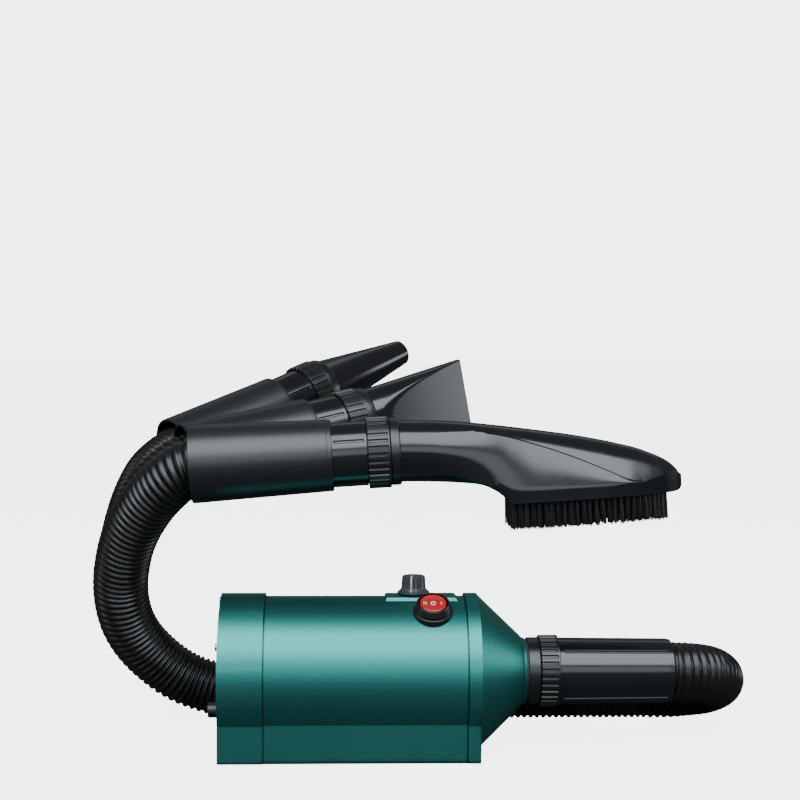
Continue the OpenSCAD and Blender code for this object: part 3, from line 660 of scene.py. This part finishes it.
# ---- Rocker switch ----
# A round three position rocker of red acrylic in a stepped rubber boot, leaning 30 degrees
# towards the user. Its marks are two bars, a ring and one bar.
switch_x = 0.068
switch_lean = math.radians(30)
switch_frame = (Matrix.Translation((switch_x, 0.0, axis_z)) @ Matrix.Rotation(switch_lean, 4, "X")
                @ Matrix.Translation((0, 0, barrel_r))
                @ Matrix.Rotation(math.radians(-90), 4, "Y"))
boot_outline = [(-0.004, 0.0101), (-0.004, 0.0168), (0.0024, 0.0168), (0.0032, 0.0164),
                (0.0036, 0.0157), (0.0046, 0.0153), (0.0052, 0.0156), (0.0060, 0.0156),
                (0.0066, 0.0152), (0.0092, 0.0144), (0.0108, 0.0135), (0.0112, 0.0130),
                (0.0110, 0.0126), (0.0038, 0.0126), (0.0038, 0.0101)]
boot_rubber = finish_of("boot_rubber", (0.014, 0.014, 0.015), (0.008, 0.008, 0.009), 0.34,
                        spread=0.12, rubbed=(0.05, 0.05, 0.053), rub=0.4, grain_scale=1300.0)
bm = turned(boot_outline, 96, closed=True)
bm.transform(switch_frame)
place_piece("stepped_boot", bm, boot_rubber, "casing", ["switch_boot"],
            rounded=0.0004, crease=28.0)
keep_node("switch_body", moulded_black)

switch_red = finish_of("rocker_red", (0.52, 0.020, 0.020), (0.40, 0.012, 0.014), 0.18,
                       spread=0.08, clouds=120.0, rubbed=(0.75, 0.10, 0.09), rub=0.4,
                       grain_scale=2200.0, relief=0.00002, coat=0.6, coat_rough=0.06)
rocker_outline = [(0.005, 0.0), (0.005, 0.0026), (0.0074, 0.0026), (0.0074, 0.0113),
                  (0.0098, 0.0113), (0.0105, 0.0110), (0.0108, 0.0104), (0.0105, 0.0092),
                  (0.0100, 0.0060), (0.0098, 0.0)]
bm = turned(rocker_outline, 96)
bm.transform(switch_frame)
place_piece("red_rocker", bm, switch_red, "switch_rocker", ["rocker"],
            rounded=0.00025, crease=28.0)

mark_height = 0.01005
bar_size = (0.0005, 0.0034, 0.0009)
for name, across in (("mark_bar_1", -0.0078), ("mark_bar_2", -0.0059), ("mark_bar_3", 0.0068)):
    bm = bmesh.new()
    bmesh.ops.create_cube(bm, size=1.0)
    bmesh.ops.scale(bm, vec=bar_size, verts=bm.verts)
    bmesh.ops.bevel(bm, geom=bm.edges[:], offset=0.00015, segments=2, profile=0.5, material=-1,
                    affect="EDGES")
    rise = mark_height + 0.0004 * (abs(across) - 0.004) / 0.004
    bm.transform(switch_frame @ Matrix.Translation((rise, 0.0, -across)))
    place_piece(name, bm, mark_white, "switch_rocker")
bm = turned([(0.0, 0.0015), (0.0004, 0.0016), (0.0004, 0.0023), (0.0, 0.0024)], 40, closed=True)
bm.transform(switch_frame @ Matrix.Translation((mark_height - 0.0002, 0, 0)))
place_piece("mark_ring", bm, mark_white, "switch_rocker")

# ---- Outlet ----
# A moulded neck with a plain flange, a knurled lock collar, and the long fluted sleeve that the
# hose is glued in. All sit on the motor axis in front of the cone.
on_axis = Matrix.Translation((0, 0, axis_z))
collar_ribs = 32
collar_r = 0.031
neck_r, neck_bore = 0.0251, 0.0225
flange_x0, flange_x1, flange_r = cone_x1 + 0.002, cone_x1 + 0.012, 0.029
gloss_black = finish_of("gloss_black", (0.008, 0.0088, 0.0105), (0.005, 0.0056, 0.0068), 0.17,
                        spread=0.08, rubbed=(0.045, 0.047, 0.052), rub=0.35, grain_scale=1800.0,
                        relief=0.000015, specular=0.8)
bm = turned([(cone_x1 - 0.008, neck_bore), (cone_x1 - 0.008, neck_r), (flange_x0, neck_r),
             (flange_x0, flange_r), (flange_x1, flange_r), (flange_x1, neck_r),
             (cone_x1 + 0.040, neck_r), (cone_x1 + 0.040, neck_bore)], 96, closed=True)
bm.transform(on_axis)
place_piece("moulded_neck", bm, moulded_black, "casing", ["outlet_neck"],
            rounded=0.0007, crease=28.0, segments=3)


def knurled_collar(x0, x1, radius, bore):
    """A lock collar with ribs, which stop short of a plain band at its front."""
    bm = turned([(x0, bore), (x0, radius - 0.0006), (x0 + 0.0006, radius), (x1 - 0.002, radius),
                 (x1 - 0.0015, radius), (x1, radius), (x1, bore)], collar_ribs * 8, closed=True)
    cut_flutes(bm, collar_ribs, 0.0012, x0, x1 - 0.002, radius - 0.001, 0.45)
    return bm


bm = knurled_collar(cone_x1 + 0.0124, cone_x1 + 0.0286, collar_r, neck_r)
bm.transform(on_axis)
place_piece("outlet_knurl", bm, moulded_black, "outlet_lock", ["outlet_collar"],
            rounded=0.00022, crease=26.0)


def fluted_tube(outline, x0, x1, over, first):
    """A glossy sleeve with four fine lengthwise flutes between two places."""
    bm = turned(outline, 256, closed=True)
    cut_flutes(bm, 4, 0.0011, x0, x1, over, 0.042, first)
    return bm


sleeve_x0, sleeve_x1 = cone_x1 + 0.029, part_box("outlet_sleeve")[1].x
bm = fluted_tube([(sleeve_x0, 0.0252), (sleeve_x0, 0.0287), (sleeve_x0 + 0.004, 0.02863),
                  (sleeve_x0 + 0.0045, 0.02862), (sleeve_x1 - 0.0045, 0.02775),
                  (sleeve_x1 - 0.004, 0.0277), (sleeve_x1, 0.0272), (sleeve_x1, 0.0252)],
                 sleeve_x0 + 0.0045, sleeve_x1 - 0.0045, 0.027, math.radians(45))
bm.transform(on_axis)
place_piece("outlet_tube", bm, gloss_black, "casing", ["outlet_sleeve"],
            rounded=0.0003, crease=26.0)

# ---- Wands ----
# Three alike: a satin handle that swivels on the hose's cuff, a glossy fluted sleeve, a knurled
# lock collar, and the nozzle's own plain ring. Each is laid along its swivel's axis.
handle_black = finish_of("handle_satin_black", (0.010, 0.0112, 0.0128), (0.007, 0.0078, 0.0090),
                         0.36, spread=0.06, clouds=10.0, rubbed=(0.05, 0.052, 0.055), rub=0.35,
                         grain_scale=2400.0, relief=0.00003, specular=0.8)
handle_len = 0.122
sleeve_end = handle_len + 0.030
collar_start = sleeve_end + 0.0004
collar_end = collar_start + 0.0192
nozzle_start = collar_end + 0.0004
nozzle_seat = nozzle_start + 0.0085
handle_outline = [
    (0.0008, 0.0314), (0.0, 0.0322), (0.0, 0.0331), (0.0006, 0.0338), (0.0018, 0.0340),
    (0.060, 0.03255), (handle_len - 0.0045, 0.03113), (handle_len - 0.0043, 0.03090),
    (handle_len - 0.0038, 0.03090), (handle_len - 0.0036, 0.03110),
    (handle_len - 0.0012, 0.03105), (handle_len - 0.0003, 0.0307), (handle_len, 0.0300),
    (handle_len, 0.02805), (0.088, 0.02805), (0.088, 0.027), (0.064, 0.027), (0.064, 0.02805),
    (0.018, 0.02805),
]
swivels = {joint["name"]: joint for joint in frame["joints"]}
wand_frames = {}
for number in (1, 2, 3):
    swivel = swivels[f"wand_{number}_swivel"]
    along = -Vector(swivel["axis"])
    across = Vector((0, 0, 1)).cross(along).normalized()
    above = along.cross(across)
    lay = Matrix((along, across, above)).transposed().to_4x4()
    wand = Matrix.Translation(swivel["pos_m"]) @ lay
    wand_frames[number] = wand

    bm = turned(handle_outline, 128, closed=True)
    bm.transform(wand)
    place_piece(f"satin_handle_{number}", bm, handle_black, f"wand_{number}",
                [f"handle_{number}"], crease=28.0)

    bm = fluted_tube([(0.088, 0.0225), (0.088, 0.028), (handle_len + 0.0015, 0.028),
                      (handle_len + 0.002, 0.028), (sleeve_end - 0.003, 0.028),
                      (sleeve_end - 0.0025, 0.028), (sleeve_end, 0.028), (sleeve_end, 0.025),
                      (nozzle_start - 0.0003, 0.025), (nozzle_start - 0.0003, 0.0225)],
                     handle_len + 0.002, sleeve_end - 0.003, 0.027, math.radians(63))
    bm.transform(wand)
    place_piece(f"fluted_sleeve_{number}", bm, gloss_black, f"wand_{number}",
                [f"sleeve_{number}"], rounded=0.0003, crease=26.0)

    bm = knurled_collar(collar_start, collar_end, collar_r, 0.02505)
    bm.transform(wand)
    place_piece(f"knurled_collar_{number}", bm, moulded_black, f"lock_{number}",
                [f"collar_{number}"], rounded=0.00022, crease=26.0)

    bm = turned([(0.138, 0.0205), (0.138, 0.0224), (nozzle_start, 0.0224),
                 (nozzle_start, 0.0287), (nozzle_start + 0.0006, 0.0293),
                 (nozzle_seat - 0.0014, 0.0293), (nozzle_seat - 0.0004, 0.0289),
                 (nozzle_seat, 0.0280), (nozzle_seat, 0.0205)], 128, closed=True)
    bm.transform(wand)
    place_piece(f"plain_ring_{number}", bm, moulded_black, ("brush", "flat", "cone")[number - 1],
                [f"ring_{number}"], rounded=0.0003, crease=28.0)
keep_node("hose_cuffs", moulded_black)

# ---- Brush head ----
# One glossy moulding: a round neck that flattens and widens into a low shoe. A parting seam
# runs down each side, with a sloping flank below it, and an upright rim goes round the base.
rim_low = -0.049
# Stations along the wand: place, crown height, seam height, rim top, underside, half widths at
# the seam and at the rim. All in millimetres.
shoe_stations = [
    (180.5, 26.6, 14.0, -19.0, -26.6, 22.6, 18.6),
    (195.0, 25.7, 14.4, -20.0, -27.4, 21.7, 18.9),
    (215.0, 24.2, 14.6, -22.0, -29.0, 20.4, 20.0),
    (235.0, 22.0, 14.2, -25.5, -31.6, 19.6, 22.4),
    (250.0, 19.8, 13.0, -29.5, -34.0, 19.6, 25.2),
    (260.0, 18.1, 11.0, -33.5, -39.0, 20.2, 27.6),
    (266.0, 17.1, 9.7, -35.5, -44.0, 20.7, 29.4),
    (270.0, 16.4, 8.6, -36.8, -47.6, 21.0, 30.8),
    (273.0, 15.9, 7.8, -37.4, -49.0, 21.3, 31.8),
    (290.0, 12.8, 2.0, -38.0, -49.0, 23.2, 34.4),
    (310.0, 9.0, -5.5, -38.1, -49.0, 25.6, 35.0),
    (330.0, 5.0, -14.0, -38.2, -49.0, 27.8, 35.0),
    (355.0, -1.0, -26.0, -38.4, -49.0, 29.6, 33.8),
    (372.0, -5.8, -34.5, -38.4, -49.0, 29.8, 31.4),
    (384.0, -9.4, -37.4, -38.0, -49.0, 28.0, 28.4),
    (396.0, -14.4, -35.4, -36.0, -49.0, 24.2, 24.4),
    (406.0, -19.2, -32.6, -33.4, -49.0, 19.8, 20.0),
    (413.0, -23.8, -30.8, -31.6, -49.0, 15.2, 15.4),
    (418.0, -28.6, -31.4, -32.4, -48.6, 10.6, 10.8),
    (421.4, -33.6, -35.0, -36.0, -47.4, 6.0, 6.2),
]
deck_steps = 16
flank_steps = 12
rim_steps = 4
sole_steps = 8
half_sides = deck_steps + flank_steps + rim_steps + sole_steps
seam_groove = 0.45


def eased(value, start, end):
    """0 before start, 1 after end, smooth between."""
    t = max(0.0, min(1.0, (value - start) / (end - start)))
    return t * t * (3 - 2 * t)


def shoe_point(station, n):
    """Point n of a station's right half, from the crown down to the middle of the sole."""
    s, crown, seam, rim, under, seam_half, rim_half = station
    shoe = eased(s, 212.0, 285.0)
    low = under + (rim - under) * 0.5 * (1.0 - shoe)
    edge = rim_half * (1.0 - 0.22 * (1.0 - shoe)) - 0.8 * shoe
    if n <= deck_steps:
        # The deck is an arch that meets the seam at a slope; the neck's is a round.
        t = min(n / (deck_steps - 1) * 0.985, 0.985) if n < deck_steps else 1.0
        reach = math.radians(90 - 27 * shoe)
        turn = t * reach
        y = seam_half * math.sin(turn) / math.sin(reach)
        z = seam + (crown - seam) * (math.cos(turn) - math.cos(reach)) / (1 - math.cos(reach))
        neck = math.acos(max(-1.0, min(0.999, seam / max(crown, 1.0))))
        neck_y = seam_half * math.sin(neck * t) / math.sin(neck)
        neck_z = crown * math.cos(neck * t)
        y, z = y * shoe + neck_y * (1 - shoe), z * shoe + neck_z * (1 - shoe)
        if n == deck_steps:
            sunk = seam_groove * eased(s, 236.0, 258.0) * (1 - eased(s, 380.0, 386.0))
            y -= sunk
            z -= sunk * 0.4
    elif n <= deck_steps + flank_steps:
        t = 0.02 + 0.98 * (n - deck_steps - 1) / (flank_steps - 1)
        bulge = 5.0 * (1.0 - shoe) + 0.5 * shoe
        y = seam_half + (rim_half - seam_half) * t + bulge * math.sin(math.pi * t)
        z = seam + (rim - seam) * t
    elif n <= deck_steps + flank_steps + rim_steps:
        t = (n - deck_steps - flank_steps) / rim_steps
        y = rim_half + (edge - rim_half) * t
        z = rim + (low - rim) * t
    else:
        t = (n - deck_steps - flank_steps - rim_steps) / sole_steps
        turn = t * math.pi / 2
        y = edge * ((1.0 - t) * shoe + math.cos(turn) * (1.0 - shoe))
        z = low + (under - low) * math.sin(turn) * (1.0 - shoe)
    return Vector((s, y, z)) / 1000


def between(stations, s):
    """A station at any place, by smooth interpolation of its neighbours."""
    for k in range(len(stations) - 1):
        if s <= stations[k + 1][0] or k == len(stations) - 2:
            break
    a, b = stations[max(k - 1, 0)], stations[k]
    c, d = stations[k + 1], stations[min(k + 2, len(stations) - 1)]
    t = (s - b[0]) / (c[0] - b[0])
    blended = [s]
    for n in range(1, len(b)):
        into = (c[n] - a[n]) / (c[0] - a[0]) * (c[0] - b[0])
        out = (d[n] - b[n]) / (d[0] - b[0]) * (c[0] - b[0])
        blended.append((2 * t ** 3 - 3 * t ** 2 + 1) * b[n] + (t ** 3 - 2 * t ** 2 + t) * into
                       + (3 * t ** 2 - 2 * t ** 3) * c[n] + (t ** 3 - t ** 2) * out)
    return blended


shoe_rows = 150
nose_from = 0.4
shoe_from, shoe_to = shoe_stations[0][0], shoe_stations[-1][0]
bm = bmesh.new()
bmesh.ops.create_grid(bm, x_segments=shoe_rows, y_segments=2 * half_sides, size=1.0)
for vert in bm.verts:
    row = round((vert.co.x + 1) / 2 * shoe_rows)
    column = round((vert.co.y + 1) * half_sides)
    # Rows close up towards the nose.
    place = shoe_from + (shoe_to - shoe_from) * (1 - (1 - row / shoe_rows) ** 1.25)
    point = shoe_point(between(shoe_stations, place), min(column, 2 * half_sides - column))
    if column > half_sides:
        point.y = -point.y
    vert.co = point
bmesh.ops.remove_doubles(bm, verts=bm.verts, dist=1e-6)
nose_rim = [edge for edge in bm.edges if edge.is_boundary and edge.verts[0].co.x > nose_from]
nose = bmesh.ops.extrude_edge_only(bm, edges=nose_rim)["geom"]
nose_verts = [item for item in nose if isinstance(item, bmesh.types.BMVert)]
nose_middle = sum((vert.co for vert in nose_verts), Vector()) / len(nose_verts)
for vert in nose_verts:
    vert.co = nose_middle.lerp(vert.co, 0.72) + Vector((0.0016, 0, 0))
open_end = [edge for edge in bm.edges if edge.is_boundary and edge.verts[0].co.x > nose_from]
tip = bmesh.ops.extrude_edge_only(bm, edges=open_end)["geom"]
tip_verts = [item for item in tip if isinstance(item, bmesh.types.BMVert)]
for vert in tip_verts:
    vert.co = nose_middle.lerp(vert.co, 0.3) + Vector((0.0012, 0, 0))
bmesh.ops.contextual_create(
    bm, geom=[edge for edge in bm.edges if edge.is_boundary and edge.verts[0].co.x > nose_from])
bmesh.ops.recalc_face_normals(bm, faces=bm.faces)
bm.transform(wand_frames[1])
place_piece("brush_shell", bm, gloss_black, "brush", ["brush_head"], crease=24.0)

# ---- Brush base and bristles ----
# A moulded plate closes the shoe, with the air slot down its middle. Tufts of nylon bristle
# stand in rows round the slot, each a bundle of fine strands with uneven ends.
keep_node("brush_base", moulded_black)
bristle_black = finish_of("nylon_bristle_black", (0.042, 0.043, 0.046), (0.0015, 0.0015, 0.002),
                          0.34, spread=0.2, clouds=300.0, rub=0.0, grain_scale=1500.0,
                          specular=0.3)
tuft_pitch = 0.0054
strands = 22
tuft_r = 0.0017
bristle_len = 0.0238
slot_x0, slot_x1, slot_half = 0.2955, 0.3805, 0.0105
field_x0, field_x1, field_margin = 0.276, 0.408, 0.003
rim_inset = 0.0045
back_row_x, back_pitch = 0.2728, 0.0038
rim_row_x0, rim_row_x1 = 0.2735, 0.4070
random.seed(7)


def half_width_at(s):
    """Half width inside the rim at a place along the wand, in metres."""
    return between(shoe_stations, s * 1000)[6] / 1000 - rim_inset


tufts = []
for row in range(-7, 8):
    y = row * tuft_pitch
    stagger = tuft_pitch / 2 if row % 2 else 0.0
    for column in range(30):
        x = field_x0 + stagger + column * tuft_pitch
        if x > field_x1 or abs(y) > half_width_at(x) - field_margin:
            continue
        if slot_x0 < x < slot_x1 and abs(y) < slot_half:
            continue
        tufts.append((x, y))
# One row of tufts follows the rim on each side.
x = rim_row_x0
while x < rim_row_x1:
    tufts += [(x, half_width_at(x)), (x, -half_width_at(x))]
    x += tuft_pitch * (1.0 - 0.45 * eased(x, 0.370, 0.410))
# A last row closes the back, behind the neck.
tufts += [(back_row_x, row * back_pitch) for row in range(-6, 7)]


def bristle_tuft():
    """One bundle of strands below its foot, a little splayed, with uneven ends."""
    tuft = bmesh.new()
    lean = Vector((random.uniform(-0.9, 0.9), random.uniform(-0.9, 0.9), 0)) / 1000
    for _ in range(strands):
        turn = random.uniform(0, 2 * math.pi)
        out = tuft_r * math.sqrt(random.random())
        foot = Vector((out * math.cos(turn), out * math.sin(turn), 0))
        splay = foot * random.uniform(0.05, 0.6)
        reach = bristle_len * random.uniform(0.91, 1.0)
        strand = bmesh.ops.create_cone(tuft, cap_ends=True, segments=4, radius1=0.00019,
                                       radius2=0.00032, depth=reach)["verts"]
        for vert in strand:
            part = 0.5 - vert.co.z / reach
            vert.co += foot + (splay + lean) * part ** 2 + Vector((0, 0, -reach / 2))
    mesh = bpy.data.meshes.new("tuft")
    tuft.to_mesh(mesh)
    tuft.free()
    return mesh


patterns = [bristle_tuft() for _ in range(12)]
bm = bmesh.new()
for x, y in tufts:
    before = len(bm.verts)
    bm.from_mesh(random.choice(patterns))
    bm.verts.ensure_lookup_table()
    bmesh.ops.translate(bm, verts=bm.verts[before:], vec=(x, y, rim_low + 0.0006))
for mesh in patterns:
    bpy.data.meshes.remove(mesh)
bm.transform(wand_frames[1])
place_piece("bristle_tufts", bm, bristle_black, "brush", ["bristles"],
            crease=80.0)

# ---- Flat nozzle ----
# A fan shaped moulding: a round neck that flares one way and closes to a slit the other way.
flat_len = 0.105
flat_end = nozzle_seat + flat_len
flat_round = 0.010
flat_neck = 0.027
flat_flare = 0.0354
flat_mouth_half = 0.005
flat_wall = 0.002
flat_blend = 0.0032


def flat_form(inset, x0, x1, rows):
    """The nozzle's outer or inner skin: a flared tube pressed between two closing planes."""
    bm = turned([(x0 + (x1 - x0) * k / rows,
                  flat_neck - inset + (flat_flare - flat_neck)
                  * max(0.0, (x0 + (x1 - x0) * k / rows - nozzle_seat) / flat_len))
                 for k in range(rows + 1)], 192)
    for vert in bm.verts:
        part = max(0.0, (vert.co.x - nozzle_seat - flat_round) / (flat_len - flat_round))
        limit = flat_neck - inset + (flat_mouth_half - flat_neck) * min(part, 1.0)
        # The round runs into the flat face over a short blend.
        away = abs(vert.co.y)
        near = max(0.0, 1.0 - abs(away - limit) / flat_blend)
        vert.co.y = math.copysign(min(away, limit) - near * near * flat_blend / 4, vert.co.y)
    return bm


bm = flat_form(0.0, nozzle_seat, flat_end, 90)
inner = flat_form(flat_wall, nozzle_seat, flat_end, 90)
inner_mesh = bpy.data.meshes.new("flat_inner")
inner.to_mesh(inner_mesh)
inner.free()
bm.from_mesh(inner_mesh)
bpy.data.meshes.remove(inner_mesh)
for x in (nozzle_seat, flat_end):
    rims = [edge for edge in bm.edges
            if edge.is_boundary and all(abs(vert.co.x - x) < 1e-6 for vert in edge.verts)]
    bmesh.ops.bridge_loops(bm, edges=rims)
bmesh.ops.recalc_face_normals(bm, faces=bm.faces)
bm.transform(wand_frames[2])
place_piece("flat_fan", bm, gloss_black, "flat", ["flat_nozzle"], rounded=0.0006,
            crease=20.0, segments=3)

# ---- Cone nozzle ----
# A plain moulded cone with a short lip at its seat and a rounded tip.
cone_len = 0.106
cone_end = nozzle_seat + cone_len
bm = turned([(nozzle_seat, 0.022), (nozzle_seat, 0.027), (nozzle_seat + 0.0015, 0.027),
             (nozzle_seat + 0.0018, 0.0268), (cone_end - 0.0024, 0.0130),
             (cone_end - 0.0008, 0.0127), (cone_end, 0.0120), (cone_end, 0.0110),
             (cone_end - 0.0008, 0.0105), (nozzle_seat + 0.006, 0.0244),
             (nozzle_seat + 0.005, 0.022)], 128, closed=True)
bm.transform(wand_frames[3])
place_piece("plain_cone", bm, gloss_black, "cone", ["cone_nozzle", "cone_tip"],
            crease=28.0)
